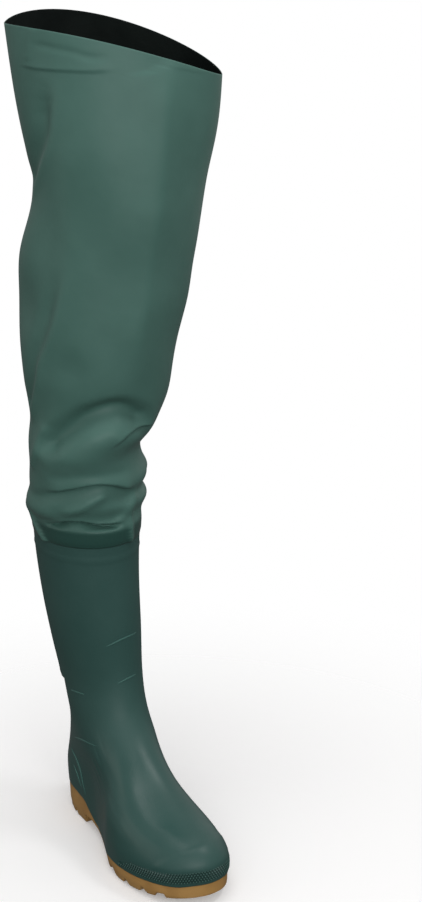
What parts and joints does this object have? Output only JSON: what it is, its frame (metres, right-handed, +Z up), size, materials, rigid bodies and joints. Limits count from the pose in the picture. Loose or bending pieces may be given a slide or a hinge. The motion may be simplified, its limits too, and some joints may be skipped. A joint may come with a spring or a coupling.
{
  "type": "thigh wader",
  "caption": "Tall green thigh wader for the right foot: moulded boot on an amber cleated sole, with a slack coated-cloth leg welded round its collar and open at a slanted rim.",
  "frame": {"origin": "on the floor, under the middle of the heel", "axes": "+Z up the leg, -Y towards the toe, -X towards the wearer's outer side"},
  "size_m": [0.2144, 0.3342, 0.9455],
  "materials": {
    "outsole": "satin moulded amber compound",
    "insole": "matt black pad",
    "boot_upper": "smooth dark green moulded compound with a soft gloss",
    "thigh_leg": "grey-green coated cloth, satin outside and black inside"
  },
  "bodies": {
    "root": {"outsole": "outsole", "insole": "insole", "boot_upper": "boot_upper", "thigh_leg": "thigh_leg"}
  },
  "joints": []
}
